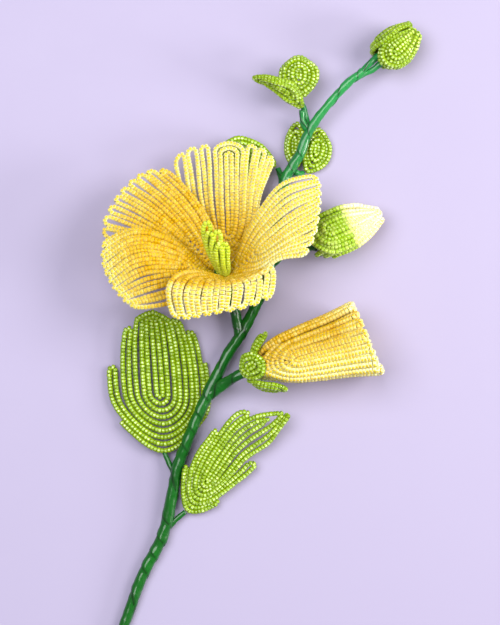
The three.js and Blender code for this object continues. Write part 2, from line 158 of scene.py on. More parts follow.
# Beads turn with the wire, and no two lean quite alike
def beadTurn(tree, given):
    tangent = firstOutput(tree, "GeometryNodeInputTangent")
    along = firstOutput(tree, "FunctionNodeAlignRotationToVector", {"Vector": tangent}, axis="Z")
    most = given["Lean Spread"]
    least = mathNode(tree, "MULTIPLY", most, -1.0)
    low = joinXYZ(tree, least, least, -math.pi)
    high = joinXYZ(tree, most, most, math.pi)
    sockets = {0: low, 1: high, "Seed": given["Seed"]}
    lean = firstOutput(tree, "FunctionNodeRandomValue", sockets, data_type="FLOAT_VECTOR")
    leanTurn = firstOutput(tree, "FunctionNodeEulerToRotation", {0: lean})
    sockets = {"Rotation": along, "Rotate By": leanTurn}
    return firstOutput(tree, "FunctionNodeRotateRotation", sockets, rotation_space="LOCAL")


# How far each side of a bead turns away from the face of the petal
def sidewaysShare(tree):
    normal = firstOutput(tree, "GeometryNodeInputNormal")
    sockets = {"Name": "face"}
    face = firstOutput(tree, "GeometryNodeInputNamedAttribute", sockets, data_type="FLOAT_VECTOR")
    sockets = {0: normal, 1: face}
    facing = addNode(tree, "ShaderNodeVectorMath", sockets, operation="DOT_PRODUCT").outputs
    upFacing = mathNode(tree, "ABSOLUTE", facing["Value"], 0.0)
    return mathNode(tree, "SUBTRACT", 1.0, upFacing)


# The wire inside the beads, a thin four-sided tube
def wireTube(tree, given, line):
    radius = mathNode(tree, "MULTIPLY", given["Wire Width"], 0.5)
    step = mathNode(tree, "MULTIPLY", given["Bead Pitch"], 1.5)
    path = evenSteps(tree, line, step)
    sockets = {"Curve": path, "Profile Curve": circleLine(tree, 4, radius), "Fill Caps": True}
    tube = firstOutput(tree, "GeometryNodeCurveToMesh", sockets)
    return giveMaterial(tree, tube, given["Wire Metal"])


# Strings beads along every line of a mesh: wire inside, one bead each pitch
def beadStringTree():
    tree = newTree(
        "stringBeads",
        "GeometryNodeTree",
        {
            "Rows": ("Geometry",),
            "Bead Width": ("Float", 0.0021),
            "Bead Length": ("Float", 0.0014),
            "Hole Width": ("Float", 0.0007),
            "Bead Pitch": ("Float", 0.00145),
            "Size Spread": ("Float", 0.05),
            "Lean Spread": ("Float", 0.1),
            "Wire Width": ("Float", 0.0003),
            "Seed": ("Int", 0),
            "Bead Glass": ("Material",),
            "Wire Metal": ("Material",),
        },
        {"Beads": ("Geometry",)},
    )
    given = addNode(tree, "NodeGroupInput").outputs
    line = firstOutput(tree, "GeometryNodeMeshToCurve", {"Mesh": given["Rows"]})
    smallest = mathNode(tree, "SUBTRACT", 1.0, given["Size Spread"])
    largest = mathNode(tree, "ADD", 1.0, given["Size Spread"])
    sockets = {
        "Points": evenSteps(tree, line, given["Bead Pitch"]),
        "Instance": oneBead(tree, given),
        "Rotation": beadTurn(tree, given),
        "Scale": randomNumber(tree, smallest, largest, given["Seed"]),
    }
    strung = firstOutput(tree, "GeometryNodeInstanceOnPoints", sockets)
    shade = randomNumber(tree, 0.0, 1.0, given["Seed"])
    shaded = storeValue(tree, strung, "beadShade", shade, "INSTANCE")
    glass = firstOutput(tree, "GeometryNodeRealizeInstances", {"Geometry": shaded})
    # how far each bead's surface turns from the petal's face places the painted side light and shade and
    # the painted highlight
    marked = storeValue(tree, glass, "sideways", sidewaysShare(tree))
    glazed = giveMaterial(tree, marked, given["Bead Glass"])
    both = addNode(tree, "GeometryNodeJoinGeometry")
    tree.links.new(wireTube(tree, given, line), both.inputs[0])
    tree.links.new(glazed, both.inputs[0])
    addNode(tree, "NodeGroupOutput", {"Beads": both.outputs[0]})
    return tree


# Finishes

def newMaterial(name):
    material = bpy.data.materials.new(name)
    material.use_nodes = True
    tree = material.node_tree
    tree.nodes.clear()
    shader = addNode(tree, "ShaderNodeBsdfPrincipled")
    output = addNode(tree, "ShaderNodeOutputMaterial", {"Surface": shader.outputs[0]})
    shader.location.x += 1400
    output.location.x += 1400
    return material, tree, shader


def opaque(colour):
    return (*colour, 1)


socketNames = {
    "roughness": "Roughness",
    "specular": "Specular IOR Level",
    "coat": "Coat Weight",
    "coatRoughness": "Coat Roughness",
    "sheen": "Sheen Weight",
    "sheenRoughness": "Sheen Roughness",
    "sheenTint": "Sheen Tint",
    "glow": "Subsurface Weight",
    "glowRadius": "Subsurface Radius",
    "glowScale": "Subsurface Scale",
}


# The values of a look that are the same all over, by the names of the shader's sockets
def plainSockets(look):
    return {socket: look[value] for value, socket in socketNames.items() if value in look}


def storedValue(tree, name):
    return addNode(tree, "ShaderNodeAttribute", attribute_name=name).outputs["Fac"]


def objectPlace(tree):
    return addNode(tree, "ShaderNodeTexCoord").outputs["Object"]


def noiseNode(tree, place, scale, detail=2.0, distortion=0.0):
    sockets = {"Vector": place, "Scale": scale, "Detail": detail, "Distortion": distortion}
    return firstOutput(tree, "ShaderNodeTexNoise", sockets)


def bumpNode(tree, height, strength, distance, under=None):
    sockets = {"Height": height, "Strength": strength, "Distance": distance}
    if under:
        sockets["Normal"] = under
    return firstOutput(tree, "ShaderNodeBump", sockets)


def mixColours(tree, share, first, second):
    sockets = {0: share, 6: first, 7: second}
    return addNode(tree, "ShaderNodeMix", sockets, data_type="RGBA").outputs[2]


# What the glass of every bead has alike
glassGrain = {
    # the reach of the painted highlight from the middle of a bead's face, and how much of it each bead
    # takes
    "glintEdge": 0.14,
    "luckFrom": (0.15, 0.85),
    "luckTo": (0.15, 1.0),
    "streakScale": 900.0,
    "streakRange": (0.3, 0.7),
    "streakLightness": (0.88, 1.08),
    "bumpStrength": 0.1,
    "bumpHeight": 0.0001,
}


# Colour of one bead: deep glass to pale glass by tone, with each bead a little lighter or darker, painted
# light and shade at its sides and a painted highlight in the middle of its face
def beadColourGroup():
    tree = newTree(
        "beadColour",
        "ShaderNodeTree",
        {
            "Deep": ("Color", (1, 0.5, 0, 1)),
            "Middle": ("Color", (1, 0.7, 0.05, 1)),
            "Pale": ("Color", (1, 0.85, 0.3, 1)),
            "Side": ("Color", (1, 0.95, 0.7, 1)),
            "Side Share": ("Float", 0.6),
            "Sideways": ("Float", 0.0),
            "Core": ("Float", 0.05),
            "Core Edge": ("Float", 0.3),
            "Glint": ("Color", (1, 1, 0.8, 1)),
            "Glint Share": ("Float", 0.0),
            "Tone": ("Float", 0.5),
            "Shade": ("Float", 0.5),
            "Spread": ("Float", 0.15),
        },
        {"Color": ("Color",), "Height": ("Float",)},
    )
    given = addNode(tree, "NodeGroupInput").outputs
    centred = mathNode(tree, "SUBTRACT", given["Shade"], 0.5)
    moved = mathNode(tree, "MULTIPLY", centred, given["Spread"])
    tone = mathNode(tree, "ADD", given["Tone"], moved, use_clamp=True)
    lowHalf = mapRange(tree, tone, (0.0, 0.5))
    highHalf = mapRange(tree, tone, (0.5, 1.0))
    body = mixColours(tree, lowHalf, given["Deep"], given["Middle"])
    body = mixColours(tree, highHalf, body, given["Pale"])
    # the sides of a bead take a side colour, more so in a paler bead: a pale side is partly the clear glass
    # round a coloured core and partly painted light on the glass edge; a dark side is painted shade between
    # the beads
    turned = mapRange(tree, given["Sideways"], (given["Core"], given["Core Edge"]))
    sideLimit = mathNode(tree, "MULTIPLY", tone, given["Side Share"])
    paintedSideShare = mathNode(tree, "MULTIPLY", turned, sideLimit)
    sidePainted = mixColours(tree, paintedSideShare, body, given["Side"])
    # a painted highlight in the middle of each bead's face, brighter in some beads than in others
    middle = mapRange(tree, given["Sideways"], (0.0, glassGrain["glintEdge"]), (1.0, 0.0))
    luck = mapRange(tree, given["Shade"], glassGrain["luckFrom"], glassGrain["luckTo"])
    brightest = mathNode(tree, "MULTIPLY", luck, given["Glint Share"])
    glintShare = mathNode(tree, "MULTIPLY", middle, brightest)
    glinted = mixColours(tree, glintShare, sidePainted, given["Glint"])
    streaks = noiseNode(tree, objectPlace(tree), glassGrain["streakScale"])
    lightness = mapRange(tree, streaks, glassGrain["streakRange"], glassGrain["streakLightness"])
    lit = firstOutput(tree, "ShaderNodeHueSaturation", {"Value": lightness, "Color": glinted})
    addNode(tree, "NodeGroupOutput", {"Color": lit, "Height": streaks})
    return tree


beadColour = beadColourGroup()

# A glass takes these values where its own look gives no other
plainGlass = {
    "core": 0.15,
    "coreEdge": 0.3,
    "roughness": 0.18,
    "specular": 0.2,
    "coat": 0.6,
    "coatRoughness": 0.08,
    "sheen": 0.1,
    "sheenRoughness": 0.3,
    "sheenTint": (1.0, 1.0, 0.8, 1),
    "glow": 0.3,
    "glowScale": 0.001,
    "glowRadius": (0.8, 1.0, 0.3),
}


def beadGlass(name, ownLook):
    look = {**plainGlass, **ownLook}
    material, tree, shader = newMaterial(name)
    sockets = {label: opaque(look[label.lower()]) for label in ("Deep", "Middle", "Pale", "Side", "Glint")}
    sockets |= {
        "Side Share": look["paintedSideShare"],
        "Core": look["core"],
        "Core Edge": look["coreEdge"],
        "Glint Share": look["glintShare"],
        "Spread": look["spread"],
        "Sideways": storedValue(tree, "sideways"),
        "Tone": storedValue(tree, "tone"),
        "Shade": storedValue(tree, "beadShade"),
    }
    colour = addNode(tree, "ShaderNodeGroup", sockets, node_tree=beadColour).outputs
    bump = bumpNode(tree, colour["Height"], glassGrain["bumpStrength"], glassGrain["bumpHeight"])
    setSockets(tree, shader, {"Base Color": colour["Color"], "Normal": bump, **plainSockets(look)})
    return material


# Below, the pale sides of yellow and bud glass are partly painted light, the dark sides of green and lime
# glass are painted shade between the beads, and the bright middle of a bead's face is a painted highlight
yellowBeads = beadGlass(
    "yellowSeedBeads",
    {
        "deep": (0.64, 0.37, 0.0),
        "middle": (0.74, 0.5, 0.001),
        "pale": (0.83, 0.61, 0.005),
        "side": (0.97, 0.91, 0.5),
        "paintedSideShare": 0.9,
        "core": 0.1,
        "coreEdge": 0.34,
        "glint": (1.0, 0.92, 0.5),
        "glintShare": 0.0,
        "spread": 0.25,
        "roughness": 0.25,
        "coat": 0.2,
        "sheen": 0.05,
        "sheenTint": (1.0, 0.95, 0.8, 1),
        "glow": 0.6,
        "glowRadius": (1.0, 0.8, 0.4),
    },
)
greenBeads = beadGlass(
    "greenSeedBeads",
    {
        "deep": (0.12, 0.22, 0.0),
        "middle": (0.3, 0.47, 0.002),
        "pale": (0.5, 0.72, 0.02),
        "side": (0.15, 0.24, 0.001),
        "paintedSideShare": 0.8,
        "glint": (0.85, 1.0, 0.66),
        "glintShare": 1.0,
        "spread": 0.5,
        "sheenTint": (0.9, 1.0, 0.7, 1),
        "glowRadius": (0.6, 1.0, 0.3),
    },
)
budBeads = beadGlass(
    "greenToYellowSeedBeads",
    {
        "deep": (0.33, 0.52, 0.015),
        "middle": (0.7, 0.78, 0.12),
        "pale": (0.95, 0.8, 0.24),
        "side": (0.98, 0.96, 0.64),
        "paintedSideShare": 0.85,
        "glint": (0.95, 0.98, 0.55),
        "glintShare": 0.45,
        "spread": 0.2,
    },
)
stamenBeads = beadGlass(
    "limeSeedBeads",
    {
        "deep": (0.46, 0.58, 0.01),
        "middle": (0.58, 0.7, 0.03),
        "pale": (0.78, 0.88, 0.1),
        "side": (0.46, 0.56, 0.02),
        "paintedSideShare": 0.6,
        "glint": (0.92, 1.0, 0.6),
        "glintShare": 0.6,
        "spread": 0.4,
        "roughness": 0.2,
    },
)

wireLook = {"colour": (0.9, 0.72, 0.35), "rubScale": 1200.0, "roughness": (0.2, 0.45)}


def wireMetal():
    material, tree, shader = newMaterial("craftWire")
    rubbing = noiseNode(tree, objectPlace(tree), wireLook["rubScale"])
    rough = mapRange(tree, rubbing, (0.0, 1.0), wireLook["roughness"])
    sockets = {"Base Color": opaque(wireLook["colour"]), "Metallic": 1.0, "Roughness": rough}
    setSockets(tree, shader, sockets)
    return material


tapeLook = {
    "light": (0.001, 0.115, 0.004),
    "dark": (0.001, 0.02, 0.001),
    "upperGreen": (0.02, 0.27, 0.06),
    "upperGreenFrom": 0.03,
    "upperGreenTo": 0.12,
    "edgeWidth": 0.14,
    "edgeShare": 0.75,
    "patchScale": 90.0,
    "patchRange": (0.35, 0.75),
    "patchShare": 0.45,
    "foldScale": 260.0,
    "foldBump": 0.6,
    "foldHeight": 0.0009,
    "crepeScale": 700.0,
    "crepeBump": 0.35,
    "crepeHeight": 0.0002,
    "roughness": 0.5,
    "specular": 0.1,
    "coat": 0.8,
    "coatRoughness": 0.18,
}


def floralTape():
    material, tree, shader = newMaterial("waxedFloralTape")
    # the tape is darker along its edge and in patches
    saw = mathNode(tree, "FRACT", storedValue(tree, "wind"), 0.0)
    edge = mapRange(tree, saw, (0.0, tapeLook["edgeWidth"]), (1.0, 0.0))
    dark = mathNode(tree, "MULTIPLY", edge, tapeLook["edgeShare"])
    place = objectPlace(tree)
    patches = noiseNode(tree, place, tapeLook["patchScale"])
    mottled = mapRange(tree, patches, tapeLook["patchRange"], (0.0, tapeLook["patchShare"]))
    share = mathNode(tree, "ADD", dark, mottled, use_clamp=True)
    # the tape turns a lighter green towards the top of the spray
    parts = addNode(tree, "ShaderNodeSeparateXYZ", {0: place}).outputs
    height = mapRange(tree, parts["Y"], (tapeLook["upperGreenFrom"], tapeLook["upperGreenTo"]))
    byHeight = mixColours(tree, height, opaque(tapeLook["light"]), opaque(tapeLook["upperGreen"]))
    colour = mixColours(tree, share, byHeight, opaque(tapeLook["dark"]))
    folds = noiseNode(tree, place, tapeLook["foldScale"], distortion=1.5)
    foldBump = bumpNode(tree, folds, tapeLook["foldBump"], tapeLook["foldHeight"])
    crepe = noiseNode(tree, place, tapeLook["crepeScale"], detail=3.0)
    bump = bumpNode(tree, crepe, tapeLook["crepeBump"], tapeLook["crepeHeight"], foldBump)
    setSockets(tree, shader, {"Base Color": colour, "Normal": bump, **plainSockets(tapeLook)})
    return material


stringBeads = beadStringTree()
craftWire = wireMetal()
waxedTape = floralTape()
print("finishes made:", len(bpy.data.materials))


# Lines and sheets, in millimetres about the open flower

def smoothstep(low, high, value):
    share = min(max((value - low) / (high - low), 0.0), 1.0)
    return share * share * (3 - 2 * share)


lineMarks = 60  # steps in which a line's length is measured


# A smooth line through points, from t = 0 to 1. Past its ends it runs on straight.
def lineThrough(points):
    stops = [Vector(point) for point in points]
    stops = [2 * stops[0] - stops[1], *stops, 2 * stops[-1] - stops[-2]]
    spans = []
    for before, start, end, after in zip(stops, stops[1:], stops[2:], stops[3:]):
        d0, d1, d2 = ((b - a).length ** 0.5 for a, b in ((before, start), (start, end), (end, after)))
        leave = ((start - before) / d0 - (end - before) / (d0 + d1) + (end - start) / d1) * d1
        arrive = ((end - start) / d1 - (after - start) / (d1 + d2) + (after - end) / d2) * d1
        step = end - start
        spans.append((start, leave, 3 * step - 2 * leave - arrive, leave + arrive - 2 * step))

    def at(t):
        inside = min(max(t, 0.0), 1.0)
        number = min(int(inside * len(spans)), len(spans) - 1)
        w = inside * len(spans) - number
        a, b, c, d = spans[number]
        point = a + w * (b + w * (c + w * d))
        if t != inside:
            slope = b + w * (2 * c + 3 * w * d)
            point += slope.normalized() * ((t - inside) * length)
        return point

    marks = [at(step / lineMarks) for step in range(lineMarks + 1)]
    length = sum((b - a).length for a, b in zip(marks, marks[1:]))
    return at, length


sheetLines = ("left", "middle", "right")


# A sheet bent through its left edge, its middle and its right edge
def sheetThrough(shape):
    (leftAt, _), (middleAt, _), (rightAt, _) = (lineThrough(shape[line]) for line in sheetLines)

    def at(u, v):
        sides = leftAt(v) * (u * (u - 1) / 2) + middleAt(v) * (1 - u * u)
        return sides + rightAt(v) * (u * (u + 1) / 2)

    return at


# A sheet rolled round an axis, one edge inside the next sheet and the other outside the last. It may
# narrow over its outer half, and rowLean moves its middle rows towards one edge.
def sheetRolled(roll, facing):
    start = Vector(roll["base"])
    axis = Vector(roll["tip"]) - start
    length = axis.length
    axis.normalize()
    side = Vector((0, 0, 1)).cross(axis).normalized()
    up = axis.cross(side)
    radiusAt, _ = lineThrough([(step, radius, 0) for step, radius in enumerate(roll["profile"])])

    def at(u, v):
        closing = smoothstep(0.5, 1, v) * roll.get("narrowing", 0)  # in degrees, as halfAngle is
        u += roll.get("rowLean", 0) * (1 - u * u) ** 2
        angle = math.radians(facing + u * (roll["halfAngle"] - closing))
        radius = radiusAt(v).y + roll["stagger"] * u
        along = length * v * (1 - roll.get("skew", 0) * math.cos(angle))
        return start + axis * along + side * (radius * math.cos(angle)) + up * (radius * math.sin(angle))

    return at


def faceDirection(sheet, u, v, step=0.01):
    across = sheet(u + step, v) - sheet(u - step, v)
    along = sheet(u, v + step) - sheet(u, v - step)
    return across.cross(along).normalized()


# Rows of beads: nested loops

crowdEnd = 0.9


# A petal's row: round the base from t = 0 to 1, then out to the rim at t = 2. The outermost rows
# reach past the start of the sheet by root, and near it rows crowd towards the sheet's edges.
def petalRow(turn, corner, root=0.0, crowd=0.0):
    def at(edge, t):
        if t <= 1:
            swing = math.pi / 2 * t
            across, v = edge * math.sin(swing), turn - (turn + root) * edge * math.cos(swing)
        else:
            across, v = edge, turn + (1 - corner * edge**6 - turn) * (t - 1)
        spread = crowd * (1 - across) * (1 - smoothstep(turn, crowdEnd, v))
        return across * (1 + spread), v

    return at


# A leaf's row: round the base, along the side to t = 2, and in to the tip at t = 3. The last whole
# row reaches the very tip, and rows fan out where the ones outside them have ended.
def leafRow(turn, tipTurn, pointed=False, lastWhole=1.0, fans=(), shoulder=1.0):
    def at(edge, t):
        for fanFrom, fanTo, growth in fans:
            edge *= 1 + growth * smoothstep(fanFrom, fanTo, t)
        reach = min(edge / lastWhole, 1.0)
        if t <= 1:
            swing = math.pi / 2 * t
            return edge * math.sin(swing), turn - turn * edge * math.cos(swing)
        if t <= 2:
            return edge, turn + (tipTurn - turn) * (t - 1)
        share = min(t - 2, 1)
        swing = math.pi / 2 * share
        inward = 1 - share**shoulder if pointed else math.cos(swing)
        onward = share if pointed else math.sin(swing)
        return edge * inward, tipTurn + (1 - tipTurn) * reach * onward

    return at


pleat = {"share": 0.32, "deepest": 0.6}


# Where rows crowd at a narrow base they lie by turns a little in front and behind
def pleatDepth(sheet, row, edge, t, pairs):
    quarter = 0.25 / pairs
    near = Vector(sheet(*row(edge - quarter, t)))
    far = Vector(sheet(*row(edge + quarter, t)))
    spacing = (far - near).length * 2
    lack = seedBead["width"] ** 2 - spacing**2
    return min(pleat["share"] * math.sqrt(max(lack, 0)), pleat["deepest"])


restHeight = 1.2  # of the wire in a row that lies on the table


class RowLines:
    def __init__(self):
        self.points = []
        self.edges = []
        self.tones = []
        self.faces = []

    def add(self, line, closed):
        first = len(self.points)
        for point, tone, face in line:
            placed = point + sprayOffset
            placed.z = max(placed.z, restHeight)
            self.points.append(placed * mm)
            self.tones.append(tone)
            self.faces += face[:]
        count = len(line)
        self.edges += [(first + n, first + n + 1) for n in range(count - 1)]
        if closed:
            self.edges.append((first + count - 1, first))


# How far a row wanders from its place, as a share of the row spacing, and how that changes
rowStray = {"share": 0.09, "byRow": 2.4, "bySide": 1.7, "alongRow": 1.1, "from": 0.1, "to": 1.1}
swellLength = 0.35


# One leg of a row, from the middle of the base outwards on side sign. Two legs that join at their
# ends swell apart first, so that the loop is round.
def rowLeg(sheet, row, number, pairs, sign, tEnd, tone, samples, swell=0.0):
    lift = 1 if number % 2 else -1
    leg = []
    for step in range(samples + 1):
        t = tEnd * step / samples
        turn = rowStray["byRow"] * number + rowStray["bySide"] * sign + rowStray["alongRow"] * t
        stray = rowStray["share"] * math.sin(turn) * smoothstep(rowStray["from"], rowStray["to"], t)
        edge = (number + 0.5 + stray + swell * smoothstep(tEnd - swellLength, tEnd, t)) / pairs
        u, v = row(edge, t)
        depth = pleatDepth(sheet, row, edge, t, pairs) * lift
        face = faceDirection(sheet, sign * u, v)
        leg.append((sheet(sign * u, v) + face * depth, tone(sign * u, v), face))
    return leg


arcSteps = 5


# A half round that joins the ends of two legs, bulging the way they run
def rimArc(fromLeg, toLeg, bulge=1.0, steps=arcSteps):
    (start, tone, face), (beforeStart, _, _) = fromLeg[-1], fromLeg[-2]
    (end, _, _), (beforeEnd, _, _) = toLeg[-1], toLeg[-2]
    middle = (start + end) / 2
    spoke = (start - end) / 2
    onward = ((start - beforeStart).normalized() + (end - beforeEnd).normalized()).normalized()
    arc = []
    for step in range(1, steps):
        swing = math.pi * step / steps
        out = onward * (spoke.length * bulge * math.sin(swing))
        arc.append((middle + spoke * math.cos(swing) + out, tone, face))
    return arc


# A row from the end of its left leg, round the base, to the end of its right leg
def wholeRow(legs, number):
    return legs[number, -1][::-1] + legs[number, 1][1:]


# A row and the next one out, joined at their ends to make one loop
def joinedPair(legs, number):
    rightArc = rimArc(legs[number, 1], legs[number + 1, 1])
    leftArc = rimArc(legs[number + 1, -1], legs[number, -1])
    return wholeRow(legs, number) + rightArc + wholeRow(legs, number + 1)[::-1] + leftArc


petalLoops = {
    "samples": 28,
    "end": 1.96,
    "swell": 0.12,
    "archEnd": 2.02,
    "archStep": 0.062,  # how much sooner each loop inside an arch ends
    "archRise": 0.68,
}


# The middle rows close in arches, one inside another, and the others are joined two by two at the rim
def petalRows(sheet, row, pairs, tone, arches=1):
    lines = RowLines()
    legs = {}
    for number in range(pairs):
        swell = -petalLoops["swell"] if number % 2 else petalLoops["swell"]
        tEnd = petalLoops["end"]
        if number < arches and arches > 1:
            swell = 0
            inside = arches - 1 - number + petalLoops["archRise"] * (number + 0.5)
            tEnd = petalLoops["archEnd"] - petalLoops["archStep"] * inside
        for sign in (-1, 1):
            legs[number, sign] = rowLeg(
                sheet, row, number, pairs, sign, tEnd, tone, petalLoops["samples"], swell
            )
    for number in range(arches):
        bulge = petalLoops["archRise"] if arches > 1 else 1
        arch = rimArc(legs[number, 1], legs[number, -1], bulge, arcSteps + 2 * number)
        lines.add(wholeRow(legs, number) + arch, closed=True)
    for number in range(arches, pairs, 2):
        if number + 1 < pairs:
            lines.add(joinedPair(legs, number), closed=True)
        else:
            lines.add(wholeRow(legs, number), closed=False)
    return lines


leafLoops = {"samples": 32, "end": 3, "tone": 0.5}


def leafTone(u, v):
    return leafLoops["tone"]


# A leaf's rows close round its tip. Outer rows that end early are joined two by two, as lobes.
def leafRows(sheet, row, pairs, ends):
    lines = RowLines()
    legs = {}
    for number in range(pairs):
        for sign in (-1, 1):
            tEnd = ends.get((number, sign), leafLoops["end"])
            legs[number, sign] = rowLeg(
                sheet, row, number, pairs, sign, tEnd, leafTone, leafLoops["samples"]
            )
    number = 0
    while number < pairs:
        if (number, 1) not in ends:
            lines.add(wholeRow(legs, number)[:-1], closed=True)
            number += 1
        elif number + 1 < pairs:
            lines.add(joinedPair(legs, number), closed=True)
            number += 2
        else:
            lines.add(wholeRow(legs, number), closed=False)
            number += 1
    return lines


# Beaded pieces

def setInputs(modifier, tree, values):
    for item in tree.interface.items_tree:
        if item.item_type == "SOCKET" and item.in_out == "INPUT" and item.name in values:
            modifier[item.identifier] = values[item.name]


# A piece of strung rows, in place of the CAD node
def beadedPiece(node, lines, glass, slot, seed, beadWidth=seedBead["width"]):
    name = f"beaded_{node}"
    mesh = bpy.data.meshes.new(name)
    mesh.from_pydata(lines.points, lines.edges, [])
    tones = mesh.attributes.new("tone", "FLOAT", "POINT")
    tones.data.foreach_set("value", lines.tones)
    faces = mesh.attributes.new("face", "FLOAT_VECTOR", "POINT")
    faces.data.foreach_set("vector", lines.faces)
    piece = bpy.data.objects.new(name, mesh)
    scene.collection.objects.link(piece)
    modifier = piece.modifiers.new("stringBeads", "NODES")
    modifier.node_group = stringBeads
    setInputs(
        modifier,
        stringBeads,
        {
            "Bead Width": beadWidth * mm,
            "Bead Length": seedBead["length"] * mm,
            "Hole Width": seedBead["hole"] * mm,
            "Bead Pitch": seedBead["pitch"] * mm,
            "Size Spread": seedBead["sizeSpread"],
            "Lean Spread": seedBead["leanSpread"],
            "Wire Width": seedBead["wire"] * mm,
            "Seed": seed,
            "Bead Glass": glass,
            "Wire Metal": craftWire,
        },
    )
    depsgraph = bpy.context.evaluated_depsgraph_get()
    plain = bpy.data.meshes.new_from_object(piece.evaluated_get(depsgraph))
    piece.modifiers.clear()
    piece.data = plain
    plain.name = name
    bpy.data.meshes.remove(mesh)
    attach(piece, "root")
    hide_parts(node)


# Open flower

openPetal = {
    "pairs": 9,
    "beadWidth": 2.06,
    "throatTone": 0.1,
    "bladeTone": 0.65,
    "rimTone": 0.25,
    "rimFrom": 0.88,
    "rimTo": 0.98,
}


# Deep gold in the throat, yellow over the blade and pale at the rim. Each petal's gold range below also
# paints light and shade: painted shade makes the left petals darker, painted light makes the right petal
# paler.
def petalTone(goldFrom, goldTo, lean):
    def tone(u, v):
        blade = openPetal["bladeTone"] * smoothstep(goldFrom, goldTo, v + lean * u)
        rim = openPetal["rimTone"] * smoothstep(openPetal["rimFrom"], openPetal["rimTo"], v)
        return openPetal["throatTone"] + blade + rim

    return tone


openPetals = {
    "petal_top": {
        "left": [(-13, 19.8, 12), (-20.5, 33, 13.5), (-28.5, 48, 13.5), (-33, 66.5, 11)],
        "middle": [(-10.9, 20.1, 13.1), (-8.4, 35, 16.5), (-8.5, 52, 17), (-8.8, 70.5, 12)],
        "right": [(-8.8, 20, 13.3), (1, 33, 18), (4.4, 48, 18.5), (12, 66, 14)],
        "arches": 3,
        "row": petalRow(0.31, 0.09, root=0.06, crowd=0.5),
        "tone": petalTone(0.3, 0.8, 0.05),
    },
    # painted shade: the two left petals keep their deep gold far out
    "petal_upper_left": {
        "left": [(-15.4, 16.8, 14), (-31, 24, 22), (-48, 28, 25), (-62.5, 30.5, 25)],
        "middle": [(-14.8, 18.4, 13.6), (-27.5, 32, 20.5), (-40, 43, 22.5), (-52.5, 51, 20)],
        "right": [(-12.6, 20.4, 14.4), (-14.5, 34, 19.3), (-23, 48.5, 20), (-35.5, 61.5, 17)],
        "row": petalRow(0.3, 0.1, root=0.06, crowd=0.15),
        "tone": petalTone(0.55, 1.35, -0.1),
        "beadWidth": 1.94,
    },
    "petal_lower_left": {
        "left": [(-13.4, 13.6, 17), (-23, 8, 29), (-33.5, 2.6, 35), (-47, 1.6, 34)],
        "middle": [(-14.9, 14.7, 16.2), (-31, 20.5, 28), (-46, 20.5, 33), (-57.5, 13, 31.5)],
        "right": [(-15.6, 16.6, 16.4), (-31, 30, 25.6), (-47, 35, 29), (-61.5, 29.5, 28)],
        "row": petalRow(0.31, 0.06, root=0.06, crowd=0.1),
        "tone": petalTone(0.58, 1.1, 0.0),
        "beadWidth": 2.1,
    },
    "petal_bottom": {
        "left": [
            (-12.6, 14.4, 19), (-23.5, 16.8, 29.5), (-32, 14.2, 37.5), (-34.2, 9.8, 40), (-31.5, -3.4, 36)
        ],
        "middle": [
            (-10.3, 13.8, 17.8), (-12, 12.4, 30), (-12, 11.4, 39.5), (-12.5, 7.5, 41.5), (-13, 0.8, 38)
        ],
        "right": [(-8.3, 14.6, 17.8), (-2, 15, 28), (5, 16.8, 35.6), (10.4, 18.7, 39.5), (9.8, 5.5, 37)],
        "row": petalRow(0.34, 0.06, root=0.06, crowd=0.1),
        "tone": petalTone(0.55, 0.66, 0.0),
        "beadWidth": 2.5,
    },
    # painted light: the gold of this petal gives way to pale early
    "petal_right": {
        "left": [(-8.5, 19.6, 16), (2, 40, 22.5), (13, 54, 24.5), (28.5, 57.5, 23)],
        "middle": [(-7.7, 17.6, 16.2), (6, 27.5, 25.5), (17.5, 36, 30), (28, 42, 30)],
        "right": [(-9.4, 13.6, 18.5), (3.2, 16.8, 28.4), (11.5, 21.4, 34.6), (23, 22.5, 36.5)],
        "row": petalRow(0.32, 0.08, root=0.06, crowd=0.15),
        "tone": petalTone(0.12, 0.45, 0.0),
        "beadWidth": 2.0,
    },
}
for seed, (name, shape) in enumerate(openPetals.items()):
    arches = shape.get("arches", 1)
    rows = petalRows(sheetThrough(shape), shape["row"], openPetal["pairs"], shape["tone"], arches)
    width = shape.get("beadWidth", openPetal["beadWidth"])
    beadedPiece(name, rows, yellowBeads, "petal_beads", seed, width)
print("open petals strung:", len(openPetals))

# Sepals under the flower stand round its own axis, which leans up the stem
throat = Vector((-11.4, 16.8, 15))
flowerLean = math.radians(35)
leanHeading = math.radians(111)
flowerAxis = Vector(
    (
        math.sin(flowerLean) * math.cos(leanHeading),
        math.sin(flowerLean) * math.sin(leanHeading),
        math.cos(flowerLean),
    )
)
flowerRight = -Vector((0, 0, 1)).cross(flowerAxis).normalized()
flowerUp = -flowerRight.cross(flowerAxis)


def fromThroat(radius, degrees, height):
    angle = math.radians(degrees)
    return (
        throat
        + flowerRight * (radius * math.cos(angle))
        + flowerUp * (radius * math.sin(angle))
        + flowerAxis * height
    )


def leafPiece(name, shape, row, pairs, seed, beadWidth=seedBead["width"]):
    rows = leafRows(sheetThrough(shape), row, pairs, shape.get("ends", {}))
    beadedPiece(name, rows, greenBeads, "leaf_beads", seed, beadWidth)


sepalPairs = 3
openSepals = {"count": 5, "first": 55, "halfWidth": 26, "row": leafRow(0.35, 0.6), "seed": 20}
sepalReach = [(3.3, -4.6), (6, -3.4), (9.5, -2), (13, -0.8)]  # out from the axis, and along it
for number in range(openSepals["count"]):
    facing = openSepals["first"] + number * 360 / openSepals["count"]
    shape = {
        line: [fromThroat(radius, facing - turn, height) for radius, height in sepalReach]
        for line, turn in zip(sheetLines, (-openSepals["halfWidth"], 0, openSepals["halfWidth"]))
    }
    leafPiece(f"open_sepal_{number + 1}", shape, openSepals["row"], sepalPairs, openSepals["seed"] + number)

